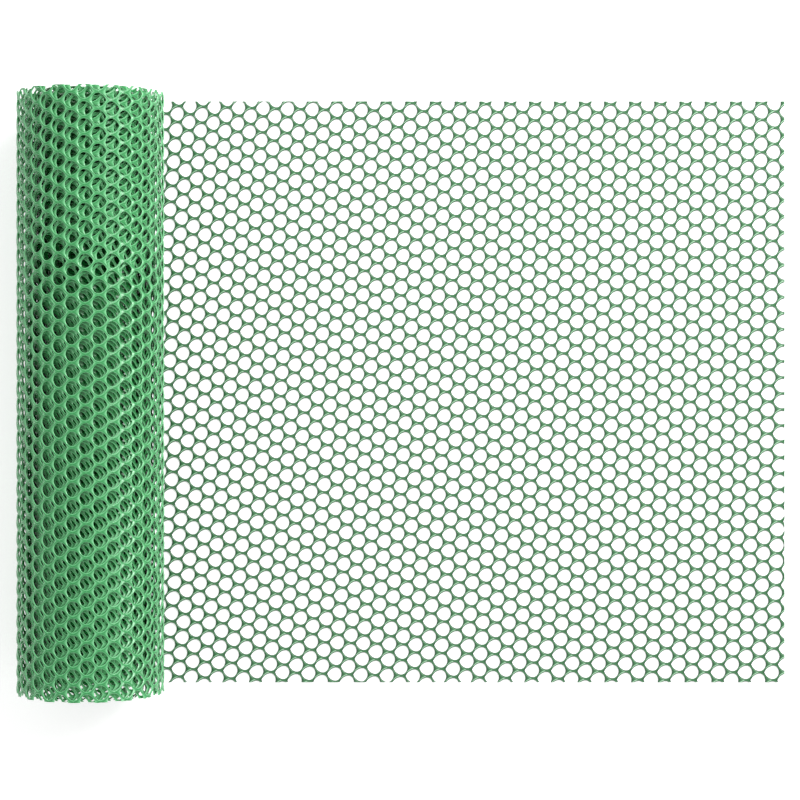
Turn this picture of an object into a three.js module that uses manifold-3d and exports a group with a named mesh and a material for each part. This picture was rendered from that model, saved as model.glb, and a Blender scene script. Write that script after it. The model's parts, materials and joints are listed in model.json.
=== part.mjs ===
// Plastic poultry netting: one strip of moulded netting, wound into a roll that lies
// on its side, with its outer end unrolled flat on the ground.
// Millimetres. +X runs along the flat stretch to its free end, +Y along the roll's
// axis and +Z up. The origin is the middle of the footprint, at ground level.
import * as THREE from 'three';
import { mergeGeometries, mergeVertices } from 'three/addons/utils/BufferGeometryUtils.js';
import Module from 'manifold-3d';

// Driving dimensions
const nettingWidth = 400;
const flatLength = 470;
const woundLength = 2530;
const nettingThickness = 1.8;
const turnGap = 1;
const boreRadius = 13;

// The flat stretch's openings, a coarse copy of the netting's cells: the shape of one cell,
// as real ones are 10.96 mm by 8.8 mm with holes 9.06 mm across, and a closed border round
// them all
const openingColumns = 12;
const cellHeightToSpacing = 10.96 / 8.8;
const holeRadiusToSpacing = 4.53 / 8.8;
const borderWidth = 5;

// How finely each turn is faceted, and each opening
const facetsPerTurn = 48;
const sidesPerOpening = 8;

// Sizes of the roll that follow: the middle of the netting runs on a spiral
// whose radius grows by one turn pitch in each full turn
const halfThickness = nettingThickness / 2;
const turnPitch = nettingThickness + turnGap;
const innerRadius = boreRadius + halfThickness;
const outerRadius = Math.sqrt(innerRadius ** 2 + (turnPitch * woundLength) / Math.PI);
const woundAngle = (2 * Math.PI * (outerRadius - innerRadius)) / turnPitch;
const axisHeight = outerRadius + halfThickness;

// A point of the wound netting, by its angle back from the lowest point of the
// outer turn, where the flat stretch leaves it, and its offset from the middle
// of the thickness, positive outwards
function woundPoint(angle, offset) {
  const radius = outerRadius - (turnPitch * angle) / (2 * Math.PI) + offset;
  return new THREE.Vector2(-radius * Math.sin(angle), axisHeight - radius * Math.cos(angle));
}

// The angles of the facets' corners. They line up from turn to turn, so that
// the gap between two turns is the same all the way round
function facetAngles() {
  const step = (2 * Math.PI) / facetsPerTurn;
  const wholeFacets = Math.ceil(woundAngle / step);
  const angles = Array.from({ length: wholeFacets }, (_, index) => index * step);
  return [...angles, woundAngle];
}

// The strip seen from its edge: along the ground under the flat stretch, round
// the outside of every turn to the end in the bore, and back on the inside
function stripOutline() {
  const angles = facetAngles();
  const outside = angles.map((angle) => woundPoint(angle, halfThickness));
  const inside = angles.map((angle) => woundPoint(angle, -halfThickness)).reverse();
  const freeEnd = [
    new THREE.Vector2(flatLength, nettingThickness),
    new THREE.Vector2(flatLength, 0),
  ];
  return new THREE.Shape([...freeEnd, ...outside, ...inside]);
}

// The whole strip with no openings, as wide as the netting
function stripGeometry() {
  const geometry = new THREE.ExtrudeGeometry(stripOutline(), {
    depth: nettingWidth,
    steps: 1,
    bevelEnabled: false,
  });
  geometry.translate(0, 0, -nettingWidth / 2);
  geometry.rotateX(Math.PI / 2);
  return geometry;
}

// Where the openings' middles are: rows that step half a cell from column to column,
// as far as the border
function openingCentres() {
  const spacing = (flatLength - 2 * borderWidth) / openingColumns;
  const cellHeight = spacing * cellHeightToSpacing;
  const centres = [];
  for (let column = 0; column < openingColumns; column += 1) {
    const firstRow = column % 2 === 0 ? 0 : cellHeight / 2;
    for (let y = firstRow; y < nettingWidth / 2 - borderWidth; y += cellHeight) {
      const x = borderWidth + (column + 0.5) * spacing;
      centres.push(new THREE.Vector2(x, y));
      if (y > 0) centres.push(new THREE.Vector2(x, -y));
    }
  }
  return centres;
}

// One opening's outline, held inside the border
function openingShape(centre) {
  const radius = (holeRadiusToSpacing * (flatLength - 2 * borderWidth)) / openingColumns;
  const low = new THREE.Vector2(borderWidth, borderWidth - nettingWidth / 2);
  const high = new THREE.Vector2(flatLength - borderWidth, nettingWidth / 2 - borderWidth);
  const corners = Array.from({ length: sidesPerOpening }, (_, index) => {
    const angle = ((index + 0.5) * 2 * Math.PI) / sidesPerOpening;
    const corner = new THREE.Vector2(Math.cos(angle), Math.sin(angle)).multiplyScalar(radius);
    return corner.add(centre).clamp(low, high);
  });
  return new THREE.Shape(corners);
}

// Plugs that stand through the flat stretch where its openings go. They stop short of the
// turn above
function plugsGeometry() {
  const plugs = openingCentres().map((centre) => {
    const plug = new THREE.ExtrudeGeometry(openingShape(centre), {
      depth: nettingThickness + turnGap,
      steps: 1,
      bevelEnabled: false,
    });
    return plug.translate(0, 0, -turnGap / 2);
  });
  return mergeGeometries(plugs);
}

// Cutting one closed shape from another
const wasm = await Module();
wasm.setup();

function solidOf(geometry) {
  geometry.deleteAttribute('normal');
  geometry.deleteAttribute('uv');
  const merged = mergeVertices(geometry);
  return new wasm.Manifold(
    new wasm.Mesh({
      numProp: 3,
      vertProperties: new Float32Array(merged.attributes.position.array),
      triVerts: new Uint32Array(merged.index.array),
    }),
  );
}

function geometryOf(solid) {
  const mesh = solid.getMesh();
  const geometry = new THREE.BufferGeometry();
  geometry.setAttribute('position', new THREE.BufferAttribute(mesh.vertProperties, 3));
  geometry.setIndex(new THREE.BufferAttribute(mesh.triVerts, 1));
  const faceted = geometry.toNonIndexed();
  faceted.computeVertexNormals();
  return faceted;
}

// The strip with its openings, set over the middle of its footprint
function nettingGeometry() {
  const geometry = geometryOf(solidOf(stripGeometry()).subtract(solidOf(plugsGeometry())));
  geometry.computeBoundingBox();
  const middle = geometry.boundingBox.getCenter(new THREE.Vector3());
  geometry.translate(-middle.x, -middle.y, 0);
  return geometry;
}

const greenPlastic = new THREE.MeshStandardMaterial({
  color: 0x4e8f5f,
  roughness: 0.45,
  metalness: 0,
});

const netting = new THREE.Mesh(nettingGeometry(), greenPlastic);
netting.name = 'netting';

const roll = new THREE.Group();
roll.add(netting);

export default roll;
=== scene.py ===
"""Plastic poultry netting: a roll lying on its side, with its outer end unrolled flat.

The netting is two layers of wavy strands, fused wherever they meet. It is modelled flat, one
cell repeated, laid a little out of true as the real sheet is, cut to width, and then wound.
"""

import json
import math

import bpy
import numpy as np
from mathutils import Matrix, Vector


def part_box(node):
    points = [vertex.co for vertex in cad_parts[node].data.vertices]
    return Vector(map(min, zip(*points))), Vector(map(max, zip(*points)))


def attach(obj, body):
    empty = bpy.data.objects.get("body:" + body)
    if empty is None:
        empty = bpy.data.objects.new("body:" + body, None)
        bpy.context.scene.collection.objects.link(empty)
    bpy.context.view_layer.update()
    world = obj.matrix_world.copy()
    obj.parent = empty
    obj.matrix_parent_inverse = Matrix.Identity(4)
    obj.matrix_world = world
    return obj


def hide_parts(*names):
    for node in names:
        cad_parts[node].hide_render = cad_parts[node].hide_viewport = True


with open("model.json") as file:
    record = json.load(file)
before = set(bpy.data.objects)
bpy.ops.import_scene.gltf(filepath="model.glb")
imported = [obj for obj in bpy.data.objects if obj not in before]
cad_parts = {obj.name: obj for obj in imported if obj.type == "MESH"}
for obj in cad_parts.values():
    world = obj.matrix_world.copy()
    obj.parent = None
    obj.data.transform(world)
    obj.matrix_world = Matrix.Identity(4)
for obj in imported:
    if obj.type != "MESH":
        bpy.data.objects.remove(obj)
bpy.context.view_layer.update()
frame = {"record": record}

MM = 0.001

# The weave. A column is a line of holes across the strip, and neighbouring columns stand half
# a row apart. The strands meet at a joint between each two holes of a column
COLUMN_SPACING = 8.80 * MM
ROW_PITCH = 10.96 * MM
ROWS_PER_COLUMN = 0.5
STRAND_SWAY = 0.62 * MM
STRAND_HALF_WIDTH = 0.81 * MM
STRAND_HALF_DEPTH = 0.59 * MM
LAYER_HEIGHT = 0.30 * MM
WEB_HALF_DEPTH = 0.25 * MM

# A hole's edge by angle: its mean radius, how much it is taller than long, how three-sided it
# is, and how far it is drawn out into a tip at its right and its left
HOLE_RADIUS = 4.435 * MM
HOLE_HEIGHTENING = 0.12 * MM
HOLE_THREE_SIDES = 0.21 * MM
HOLE_RIGHT_TIP = 0.42 * MM
HOLE_RIGHT_SHARPNESS = 8
HOLE_LEFT_TIP = 0.54 * MM
HOLE_LEFT_SHARPNESS = 32

# How the points of a cell crowd: along a strand towards its joints, and from a strand's crown
# towards the hole, where the web fills the gap between two strands
JOINT_CROWDING = 0.02
WEB_CROWDING = 0.8
WEB_SHARPNESS = 8

# The roll
NETTING_THICKNESS = 1.8 * MM
TURN_PITCH = 2.8 * MM
WOUND_LENGTH = 2530 * MM

# How the flat stretch lies out of true, by column and row from its middle
MIDDLE_X = 35.3 * MM
MIDDLE_Y = -0.2 * MM
LEAN = 0.643 * MM
LEAN_CHANGE = -0.0140 * MM
WIDENING = 0.00406 * MM
COLUMN_BOW = -0.00455 * MM
ROW_SLOPE = -0.137 * MM
ROW_SLOPE_CHANGE = 0.00383 * MM
ROW_WIDENING = 0.0032 * MM
ROW_BOW = 0.00384 * MM

# How the wound stretch lies out of true, which sets how the holes line up from turn to turn.
# Columns past the flat stretch are below zero
FIRST_WOUND_COLUMN = -28.3
FIRST_STEADY_COLUMN = -38
FIRST_DRIFTING_COLUMN = -135
WOUND_LEAN = 0.1 * MM
WOUND_LEAN_CHANGE = 0.003 * MM
WOUND_START = -0.05 * MM
WOUND_STRETCH = 0.0017
WOUND_DRIFT = 0.016
WOUND_ROW_START = 0.13 * MM
WOUND_ROW_RISE = 3.98 * MM

# How the rows shift along the roll on its underside: under the outer turn the other way in each
# next turn, from late in the outer turn on, and in the outer turn itself just past the ground
UNDERSIDE_SHIFT = 7.0 * MM
UNDERSIDE_SHARPNESS = 3
UNDER_OUTER_TURN_START = math.radians(270)
UNDER_OUTER_TURN_FULL = math.radians(345)
FIRST_UNDERSIDE_SHIFT = 3.0 * MM
FIRST_UNDERSIDE_START = math.radians(15)
FIRST_UNDERSIDE_SPAN = math.radians(75)

# How the turns under the outer one have slipped round it, above a row near the roll's middle
SLIP = 9.5 * MM
SLIP_COLUMNS = 79
SLIP_START_COLUMN = -71.7
SLIP_FIRST_ROW = 3
SLIP_LAST_ROW = 9

# Where the netting starts to lie too deep for light to reach it well, and where it is darkest
FIRST_DEEP_TURN = 2.0
DARKEST_TURN = 4.6

# The plastic: its gloss, and its colours at a strand's crown and at a hole's edge, as lit and
# shaded copies of one green: on the roll a painted highlight at the hole's edge, on the flat
# stretch a darker, greyer crown and painted shade at the hole's edge
ROUGHNESS = 0.27
REFRACTION = 1.5
ROLL_LIT_CROWN = (0.018, 0.225, 0.056, 1)
ROLL_EDGE_HIGHLIGHT = (0.220, 0.620, 0.300, 1)
FLAT_SHADED_CROWN = (0.060, 0.205, 0.083, 1)
FLAT_EDGE_SHADE = (0.018, 0.056, 0.027, 1)
EDGE_SHARPNESS = 1.2
# Painted shade for the turns that lie deep in the roll
DEEP_SHADE_GREEN = (0.003, 0.140, 0.022, 1)

# The painted highlight, a bright streak on each joint: where it fades out and where it is full, in
# rows beside the strand's crown and in columns along the strand from the streak's middle
STREAK_HIGHLIGHT_GREEN = (0.42, 0.68, 0.46, 1)
STREAK_STRENGTH = 0.9
STREAK_MIDDLE = 0.73
STREAK_SIDE_END = 0.040
STREAK_SIDE_FULL = 0.010
STREAK_TIP_END = 0.27
STREAK_TIP_FULL = 0.17

# Camera, straight above. The picture is cropped from a wider one, so the point that the camera
# stands over is off its middle
CAMERA_HEIGHT = 1.57
CAMERA_X = 10 * MM
CAMERA_Y = 18 * MM
FOCAL_LENGTH = 102.5
SHIFT_X = -0.0272
SHIFT_Y = -0.043

# Floor, under the netting by less than shows, and the light
FLOOR_SIZE = 8
FLOOR_DROP = 0.2 * MM
FLOOR_GREY = (0.8, 0.8, 0.8, 1)
FLOOR_ROUGHNESS = 0.9
FLOOR_GLOW = 0.5
WHITE = (1, 1, 1, 1)
KEY_PLACE = (0.7, 0.75, 1.15)
KEY_AIM = (-0.15, 0, 0.05)
KEY_SIZE = 0.8
KEY_POWER = 26
SKY_STRENGTH = 0.7

MERGE_DISTANCE = 0.01 * MM
CUT_DISTANCE = MERGE_DISTANCE / 50
SMOOTH_ANGLE = math.radians(60)
SPARE_COLUMNS = 3
FLAT_SPLIT_X = 20 * MM

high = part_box("netting")[1]
bore_low, bore_high = frame["record"]["physics"]["openings"][0]["box_m"]
AXIS_X = (bore_low[0] + bore_high[0]) / 2
AXIS_Z = (bore_low[2] + bore_high[2]) / 2
OUTER_RADIUS = AXIS_Z - NETTING_THICKNESS / 2
HALF_WIDTH = high.y
FREE_END_X = high.x
INNER_END_X = AXIS_X - WOUND_LENGTH


def choose(*pieces):
    """Makes these objects the only ones selected, and the last of them the active one."""
    bpy.ops.object.select_all(action="DESELECT")
    for piece in pieces:
        piece.select_set(True)
    bpy.context.view_layer.objects.active = pieces[-1]


def edit_whole(piece):
    """Opens a piece in edit mode with all of it selected."""
    choose(piece)
    bpy.ops.object.mode_set(mode="EDIT")
    bpy.ops.mesh.select_all(action="SELECT")


def end_edit():
    """Goes back to object mode."""
    bpy.ops.object.mode_set(mode="OBJECT")


def points_of(piece):
    """The places of a piece's points, one a row."""
    points = np.empty(len(piece.data.vertices) * 3)
    piece.data.vertices.foreach_get("co", points)
    return points.reshape(-1, 3)


def set_points(piece, points):
    """Puts a piece's points where these rows say."""
    piece.data.vertices.foreach_set("co", points.astype(np.float32).ravel())
    piece.data.update()


def store(piece, name, values):
    """Keeps a number for each point of a piece, for its colour to use."""
    kept = piece.data.attributes.new(name, "FLOAT", "POINT")
    kept.data.foreach_set("value", values.astype(np.float32))


def smooth_step(value, start, end):
    """0 before the start, 1 past the end, and smooth in between."""
    share = np.clip((value - start) / (end - start), 0, 1)
    return share * share * (3 - 2 * share)


def upper_strand(x):
    """How far up the sheet an upper strand has climbed, x along from a joint."""
    sway = STRAND_SWAY * np.sin(math.tau * x / COLUMN_SPACING)
    return ROW_PITCH / (2 * COLUMN_SPACING) * x - sway


def strand_distance(x, y, side):
    """Distance in plan to the nearest strand: an upper one where side is 1, a lower one at -1."""
    x = x * side
    above = y - upper_strand(x) - ROW_PITCH / 2
    above = above - ROW_PITCH * np.round(above / ROW_PITCH)
    sway_slope = math.tau * STRAND_SWAY / COLUMN_SPACING
    sway_slope = sway_slope * np.cos(math.tau * x / COLUMN_SPACING)
    slope = ROW_PITCH / (2 * COLUMN_SPACING) - sway_slope
    return np.abs(above) / np.sqrt(1 + slope ** 2)


def layer_top(distance, layer):
    """Height of a strand's upper side, or of the web where the strand doesn't reach."""
    round_share = np.sqrt(np.clip(1 - (distance / STRAND_HALF_WIDTH) ** 2, 0, None))
    round_top = STRAND_HALF_DEPTH * round_share
    return np.where(distance < STRAND_HALF_WIDTH, layer + round_top, WEB_HALF_DEPTH)


def upper_face(x, y):
    """Height of the netting's upper face over its middle plane."""
    upper = layer_top(strand_distance(x, y, 1), LAYER_HEIGHT)
    lower = layer_top(strand_distance(x, y, -1), -LAYER_HEIGHT)
    return np.maximum(upper, lower)


def hole_edge(angle):
    """Where a hole's edge is, by angle from its right."""
    radius = HOLE_RADIUS - HOLE_HEIGHTENING * np.cos(2 * angle)
    radius = radius - HOLE_THREE_SIDES * np.cos(3 * angle)
    right = np.clip(np.cos(angle), 0, None)
    left = np.clip(-np.cos(angle), 0, None)
    radius = radius + HOLE_RIGHT_TIP * right ** HOLE_RIGHT_SHARPNESS
    radius = radius + HOLE_LEFT_TIP * left ** HOLE_LEFT_SHARPNESS
    return radius * np.cos(angle), radius * np.sin(angle)


def crown_line(step, steps):
    """A point of the strands round a hole, steps to the full round, from the joint at its right."""
    quarter, part = np.divmod(step, steps // 4)
    share = part / (steps // 4)
    share = share - JOINT_CROWDING * np.sin(math.tau * share)
    share = np.where(quarter % 2, 1 - share, share)
    x = COLUMN_SPACING * (1 - share)
    y = upper_strand(COLUMN_SPACING * share)
    return np.where((quarter == 0) | (quarter == 3), x, -x), np.where(quarter < 2, y, -y)


def select_first(piece, count):
    """Selects the first points of a piece, and the edges between them, in edit mode."""
    bpy.ops.mesh.select_all(action="DESELECT")
    end_edit()
    for vertex in piece.data.vertices[:count]:
        vertex.select = True
    bpy.ops.object.mode_set(mode="EDIT")


def add_cell(steps, bands):
    """One hole with the strands round it out to their crowns. The first ring of points is the
    hole's edge. Each band is a ring further out, first on the upper face and then on the under."""
    bpy.ops.object.select_all(action="DESELECT")
    bpy.ops.mesh.primitive_circle_add(vertices=steps, radius=HOLE_RADIUS)
    cell = bpy.context.object
    bpy.ops.object.mode_set(mode="EDIT")
    for _ in range(2):
        select_first(cell, steps)
        for _ in range(bands):
            bpy.ops.mesh.extrude_edges_move()
    bpy.ops.mesh.select_all(action="SELECT")
    bpy.ops.mesh.normals_make_consistent(inside=False)
    end_edit()

    index = np.arange(len(cell.data.vertices))
    ring, step = index // steps, index % steps
    angle = math.tau * step / steps
    band = np.where(ring > bands, ring - bands, ring)
    share = (band / bands) ** (1 + WEB_CROWDING * np.cos(angle) ** WEB_SHARPNESS)
    edge_x, edge_y = hole_edge(angle)
    crown_x, crown_y = crown_line(step, steps)
    x = (1 - share) * edge_x + share * crown_x
    y = (1 - share) * edge_y + share * crown_y
    z = np.where(ring > bands, -upper_face(-x, y), upper_face(x, y))
    z = np.where(ring == 0, -LAYER_HEIGHT * np.sin(2 * angle), z)
    set_points(cell, np.stack([x, y, z], axis=1))
    # How near a point lies to the hole's edge, which sets the painted highlight and the painted
    # shade at the edges
    store(cell, "flank", 1 - band / bands)

    # Place in the weave, in columns and rows, as seen from the side that each face is on
    weave = cell.data.uv_layers.new(name="weave")
    for face in cell.data.polygons:
        side = -1 if max(ring[face.vertices]) > bands else 1
        for corner, point in zip(face.loop_indices, face.vertices):
            weave.data[corner].uv = (side * x[point] / COLUMN_SPACING, y[point] / ROW_PITCH)
    return cell


def add_weave(name, first_column, last_column, steps, bands):
    """The netting between two columns, flat and true, a little wider than the strip."""
    even = add_cell(steps, bands)
    odd = add_cell(steps, bands)
    odd.location = (COLUMN_SPACING, ROW_PITCH / 2, 0)
    choose(odd, even)
    bpy.ops.object.join()
    weave = even
    weave.name = weave.data.name = name
    rows_each_way = math.ceil(HALF_WIDTH / ROW_PITCH) + 1
    weave.location = (first_column * COLUMN_SPACING, -rows_each_way * ROW_PITCH, 0)
    bpy.ops.object.transform_apply(location=True, rotation=False, scale=False)
    pairs = math.ceil((last_column - first_column + 1) / 2)
    for count, offset in (
        (2 * rows_each_way + 1, (0, ROW_PITCH, 0)),
        (pairs, (2 * COLUMN_SPACING, 0, 0)),
    ):
        repeat = weave.modifiers.new("repeat", "ARRAY")
        repeat.count = count
        repeat.use_relative_offset = False
        repeat.use_constant_offset = True
        repeat.constant_offset_displace = offset
        repeat.use_merge_vertices = True
        repeat.merge_threshold = MERGE_DISTANCE
    choose(weave)
    for modifier in list(weave.modifiers):
        bpy.ops.object.modifier_apply(modifier=modifier.name)
    edit_whole(weave)
    bpy.ops.mesh.remove_doubles(threshold=MERGE_DISTANCE)
    end_edit()
    return weave


def wound_angle(x):
    """How far round the roll a place along the strip is, back from the ground contact."""
    wound = np.clip(AXIS_X - x, 0, None)
    reach = np.sqrt(OUTER_RADIUS ** 2 - TURN_PITCH * wound / math.pi)
    return math.tau * (OUTER_RADIUS - reach) / TURN_PITCH


def turn_start(turn):
    """Where along the strip a turn starts, counted from the ground contact."""
    angle = math.tau * turn
    return AXIS_X - (OUTER_RADIUS * angle - TURN_PITCH * angle ** 2 / (2 * math.tau))


def flat_offset(column, row):
    """How far from true the netting of the flat stretch lies, along the strip and across it."""
    along = (LEAN + LEAN_CHANGE * column) * row
    along = along + WIDENING * column ** 2 + COLUMN_BOW * row ** 2
    across = (ROW_SLOPE + ROW_SLOPE_CHANGE * column + ROW_WIDENING * row) * column
    across = across + ROW_BOW * row ** 2
    return along, across


def wound_offset(column, row, angle):
    """How far from true the netting of the roll lies, along the strip and across it."""
    past = column - FIRST_WOUND_COLUMN
    drifting = np.clip(FIRST_DRIFTING_COLUMN - column, 0, None)
    under_outer_turn = smooth_step(angle, UNDER_OUTER_TURN_START, UNDER_OUTER_TURN_FULL)
    along = (WOUND_LEAN + WOUND_LEAN_CHANGE * past) * row
    start = WIDENING * FIRST_WOUND_COLUMN ** 2 + WOUND_START
    along += start + WOUND_STRETCH * COLUMN_SPACING * past
    along += WOUND_DRIFT * COLUMN_SPACING * drifting
    slipping = smooth_step(row, SLIP_FIRST_ROW, SLIP_LAST_ROW) * under_outer_turn
    along -= SLIP * slipping * np.sin(math.tau * (SLIP_START_COLUMN - column) / SLIP_COLUMNS)
    across = (ROW_SLOPE + ROW_SLOPE_CHANGE * FIRST_WOUND_COLUMN) * FIRST_WOUND_COLUMN
    across = across + WOUND_ROW_START + WOUND_ROW_RISE * angle / math.tau
    across += UNDERSIDE_SHIFT * under_outer_turn * np.cos(angle / 2) ** UNDERSIDE_SHARPNESS
    return along, across


def lay_out_of_true(points):
    """Moves the points of the true weave to where they lie in the strip, still flat."""
    column = points[:, 0] / COLUMN_SPACING
    row = points[:, 1] / ROW_PITCH
    angle = wound_angle(points[:, 0] + MIDDLE_X)
    flat_along, flat_across = flat_offset(column, row)
    wound_along, wound_across = wound_offset(column, row, angle)
    share = smooth_step(column, FIRST_STEADY_COLUMN, FIRST_WOUND_COLUMN)
    first_underside = np.clip((angle - FIRST_UNDERSIDE_START) / FIRST_UNDERSIDE_SPAN, 0, 1)
    laid = points.copy()
    laid[:, 0] += MIDDLE_X + share * flat_along + (1 - share) * wound_along
    laid[:, 1] += MIDDLE_Y + share * flat_across + (1 - share) * wound_across
    laid[:, 1] += FIRST_UNDERSIDE_SHIFT * np.sin(math.pi * first_underside) ** 2
    return laid


def wind(points):
    """Moves the points of the flat strip to the ground, or to the roll past the ground contact."""
    angle = wound_angle(points[:, 0])
    radius = OUTER_RADIUS - TURN_PITCH * angle / math.tau - points[:, 2]
    placed = points.copy()
    placed[:, 0] = np.maximum(points[:, 0], AXIS_X) - radius * np.sin(angle)
    placed[:, 2] = AXIS_Z - radius * np.cos(angle)
    return placed


def cut(weave, place, normal):
    """Cuts the netting straight through, drops what lies beyond the cut and closes the strands."""
    edit_whole(weave)
    bpy.ops.mesh.bisect(
        plane_co=place,
        plane_no=normal,
        use_fill=True,
        clear_outer=True,
        threshold=CUT_DISTANCE,
    )
    end_edit()


def add_stretch(name, from_x, to_x, steps, bands):
    """A stretch of the netting, between two places along the strip, laid where it belongs."""
    columns_before = (from_x - MIDDLE_X) / COLUMN_SPACING - SPARE_COLUMNS
    first_column = 2 * math.floor(columns_before / 2)
    last_column = math.ceil((to_x - MIDDLE_X) / COLUMN_SPACING) + SPARE_COLUMNS
    weave = add_weave(name, first_column, last_column, steps, bands)
    set_points(weave, lay_out_of_true(points_of(weave)))
    cut(weave, (from_x, 0, 0), (-1, 0, 0))
    cut(weave, (to_x, 0, 0), (1, 0, 0))
    cut(weave, (0, -HALF_WIDTH, 0), (0, -1, 0))
    cut(weave, (0, HALF_WIDTH, 0), (0, 1, 0))

    flat_points = points_of(weave)
    along = flat_points[:, 0]
    turn = wound_angle(along) / math.tau
    # For the colour: painted shade deep in the roll, and the flat stretch's own painted shade and
    # painted highlight streak
    store(weave, "lies_deep", smooth_step(turn, FIRST_DEEP_TURN, DARKEST_TURN))
    store(weave, "lies_flat", np.clip(1 + (along - AXIS_X) / (2 * OUTER_RADIUS), 0, 1))
    set_points(weave, wind(flat_points))
    edit_whole(weave)
    bpy.ops.mesh.normals_make_consistent(inside=False)
    end_edit()
    bpy.ops.object.shade_smooth_by_angle(angle=SMOOTH_ANGLE)
    return weave


def green_plastic():
    """Green plastic, with painted shade deep in the roll and a bright streak of painted highlight
    on each joint that lies flat.
    """
    material = bpy.data.materials.new("green_plastic")
    material.use_nodes = True
    tree = material.node_tree
    shader = tree.nodes["Principled BSDF"]
    shader.inputs["Roughness"].default_value = ROUGHNESS
    shader.inputs["IOR"].default_value = REFRACTION

    def node(kind, **settings):
        made = tree.nodes.new(kind)
        for name, value in settings.items():
            setattr(made, name, value)
        return made

    def stored(name):
        return node("ShaderNodeAttribute", attribute_name=name).outputs["Fac"]

    def math_node(operation, first, second=0.0, third=0.0):
        made = node("ShaderNodeMath", operation=operation)
        for socket, value in zip(made.inputs, (first, second, third)):
            if isinstance(value, (int, float)):
                socket.default_value = value
            else:
                tree.links.new(value, socket)
        return made.outputs[0]

    def fade(value, end, full):
        made = node("ShaderNodeMapRange", interpolation_type="SMOOTHSTEP")
        made.inputs["From Min"].default_value = end
        made.inputs["From Max"].default_value = full
        tree.links.new(value, made.inputs["Value"])
        return made.outputs[0]

    def mix(factor, first, second):
        made = node("ShaderNodeMix", data_type="RGBA")
        for socket, value in (("Factor", factor), ("A", first), ("B", second)):
            if isinstance(value, tuple):
                made.inputs[socket].default_value = value
            else:
                tree.links.new(value, made.inputs[socket])
        return made.outputs["Result"]

    weave = node("ShaderNodeUVMap", uv_map="weave")
    split = node("ShaderNodeSeparateXYZ")
    tree.links.new(weave.outputs["UV"], split.inputs[0])
    column, row = split.outputs[0], split.outputs[1]
    flank = stored("flank")
    lies_flat = stored("lies_flat")
    lies_deep = stored("lies_deep")

    # Rows off the crown of the upper strand, and columns past the joint before
    round_angle = math_node("MULTIPLY", column, math.tau)
    sway = math_node("MULTIPLY", math_node("SINE", round_angle), STRAND_SWAY / ROW_PITCH)
    climb = math_node("ADD", math_node("MULTIPLY_ADD", column, -ROWS_PER_COLUMN, row), sway)
    off_crown = math_node("ABSOLUTE", math_node("SUBTRACT", math_node("FRACT", climb), 0.5))
    past_joint = math_node("FRACT", column)

    # Where the upper strand is pressed flat as it comes down to a joint, its shine is a painted
    # highlight
    off_middle = math_node("ABSOLUTE", math_node("SUBTRACT", past_joint, STREAK_MIDDLE))
    beside = fade(off_crown, STREAK_SIDE_END, STREAK_SIDE_FULL)
    along = fade(off_middle, STREAK_TIP_END, STREAK_TIP_FULL)
    streak = math_node("MULTIPLY", beside, along)
    shine = math_node("MULTIPLY", streak, math_node("MULTIPLY", lies_flat, STREAK_STRENGTH))

    # Lit and shaded copies of the plastic: a painted highlight at the hole's edges on the roll, and
    # on the flat stretch a darker crown with painted shade at the hole's edges
    crown = mix(lies_flat, ROLL_LIT_CROWN, FLAT_SHADED_CROWN)
    edge = mix(lies_flat, ROLL_EDGE_HIGHLIGHT, FLAT_EDGE_SHADE)
    plain = mix(math_node("POWER", flank, EDGE_SHARPNESS), crown, edge)
    # Painted shade on the turns deep in the roll, where little light reaches
    darkened = mix(lies_deep, plain, DEEP_SHADE_GREEN)
    bright = mix(shine, darkened, STREAK_HIGHLIGHT_GREEN)
    tree.links.new(bright, shader.inputs["Base Color"])
    return material


def add_camera():
    """The camera, looking straight down."""
    lens = bpy.data.cameras.new("camera")
    lens.lens = FOCAL_LENGTH
    lens.shift_x = SHIFT_X
    lens.shift_y = SHIFT_Y
    camera = bpy.data.objects.new("camera", lens)
    camera.location = (CAMERA_X, CAMERA_Y, CAMERA_HEIGHT)
    bpy.context.collection.objects.link(camera)
    bpy.context.scene.camera = camera


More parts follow.
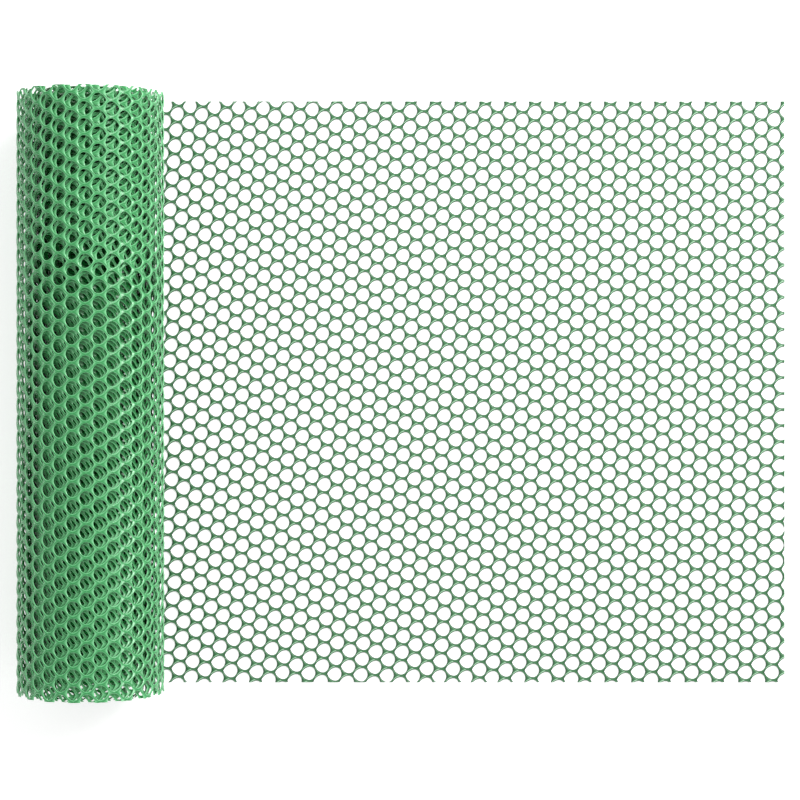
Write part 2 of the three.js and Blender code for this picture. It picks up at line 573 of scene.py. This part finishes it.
def white_floor():
    """Plain white paper that glows a little, so that it stays white beside the netting."""
    white = bpy.data.materials.new("white_floor")
    white.use_nodes = True
    paper = white.node_tree.nodes["Principled BSDF"]
    paper.inputs["Base Color"].default_value = FLOOR_GREY
    paper.inputs["Roughness"].default_value = FLOOR_ROUGHNESS
    paper.inputs["Emission Color"].default_value = WHITE
    paper.inputs["Emission Strength"].default_value = FLOOR_GLOW
    return white


def add_softbox(name, place, aim, size, power):
    """A square lamp that faces the point it is aimed at."""
    light = bpy.data.lights.new(name, "AREA")
    light.shape = "SQUARE"
    light.size = size
    light.energy = power
    lamp = bpy.data.objects.new(name, light)
    lamp.location = place
    lamp.rotation_mode = "QUATERNION"
    lamp.rotation_quaternion = (Vector(aim) - Vector(place)).to_track_quat("-Z", "Y")
    bpy.context.collection.objects.link(lamp)


def light_sky():
    """Even white light from all round."""
    world = bpy.data.worlds.new("studio")
    world.use_nodes = True
    background = world.node_tree.nodes["Background"]
    background.inputs["Color"].default_value = WHITE
    background.inputs["Strength"].default_value = SKY_STRENGTH
    bpy.context.scene.world = world


# Each stretch of the netting: its name, where it starts and ends along the strip, how many
# points go round a hole, and how many bands of faces lie between the hole and the crowns
stretches = [
    ("flat_stretch_outer", FLAT_SPLIT_X, FREE_END_X, 20, 2),
    ("flat_stretch_inner", AXIS_X, FLAT_SPLIT_X, 20, 2),
    ("outer_turn", turn_start(1), AXIS_X, 16, 2),
    ("second_turn", turn_start(2), turn_start(1), 12, 2),
    ("third_turn", turn_start(3), turn_start(2), 12, 2),
    ("inner_turns", turn_start(8), turn_start(3), 8, 1),
    ("innermost_turns", INNER_END_X, turn_start(8), 8, 1),
]
plastic = green_plastic()
for name, from_x, to_x, steps, bands in stretches:
    piece = add_stretch(name, from_x, to_x, steps, bands)
    piece.data.materials.clear()
    piece.data.materials.append(plastic)
    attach(piece, "root")
    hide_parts("netting")

add_camera()

bpy.ops.object.select_all(action="DESELECT")
bpy.ops.mesh.primitive_plane_add(size=FLOOR_SIZE, location=(0, 0, -FLOOR_DROP))
floor = bpy.context.object
floor.name = "floor"
bpy.ops.object.transform_apply(location=True, rotation=False, scale=False)
floor.data.materials.append(white_floor())

add_softbox("key", KEY_PLACE, KEY_AIM, KEY_SIZE, KEY_POWER)
light_sky()
bpy.context.scene.view_settings.view_transform = "Standard"
